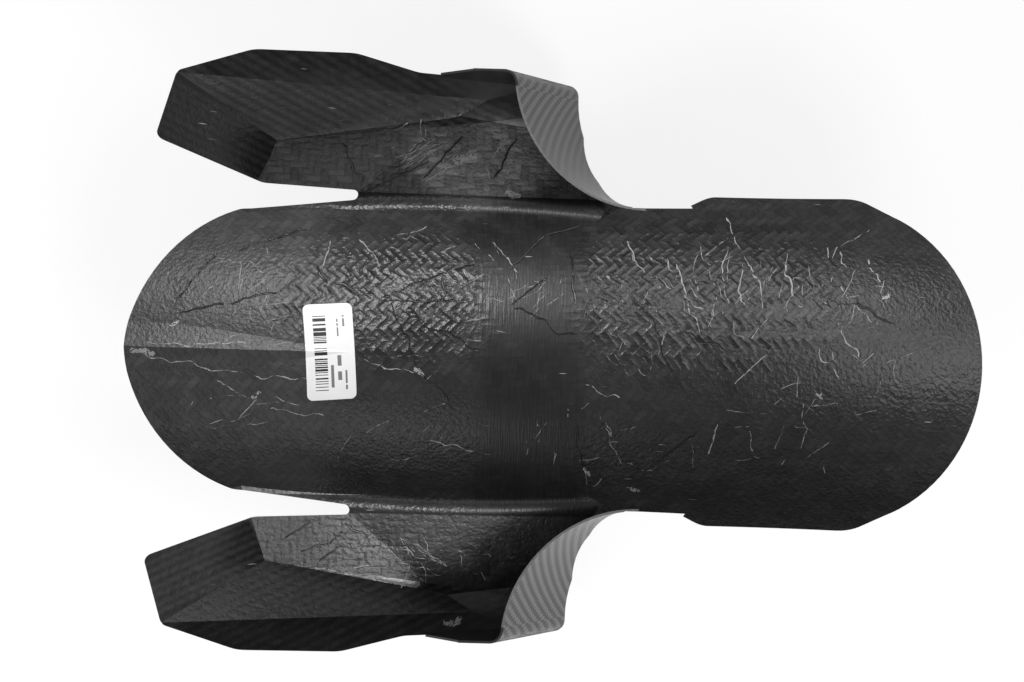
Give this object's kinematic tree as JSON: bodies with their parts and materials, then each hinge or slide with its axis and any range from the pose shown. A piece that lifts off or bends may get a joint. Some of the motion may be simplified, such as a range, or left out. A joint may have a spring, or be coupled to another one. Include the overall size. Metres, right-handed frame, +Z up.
{
  "type": "front mudguard",
  "caption": "One-piece moulded front mudguard with a tyre channel, pointed nose, forward fork shields, fork leg notches and a paper label inside; it keeps spray off the forks.",
  "frame": {"origin": "centre of the box that holds the part, at its lowest point, where the crown rests with the hollow side up", "axes": "+X from the nose to the tail, +Y to one side, +Z up out of the hollow side towards the wheel axle"},
  "size_m": [0.4206, 0.2946, 0.1081],
  "materials": {
    "carbon_laminate": "black carbon fibre laminate: creased satin bag side inside, smooth fine twill outside",
    "label_paper": "matt white self-adhesive paper with a plain printed bar pattern"
  },
  "bodies": {
    "root": {"mudguard_shell": "carbon_laminate", "label": "label_paper"}
  },
  "joints": []
}
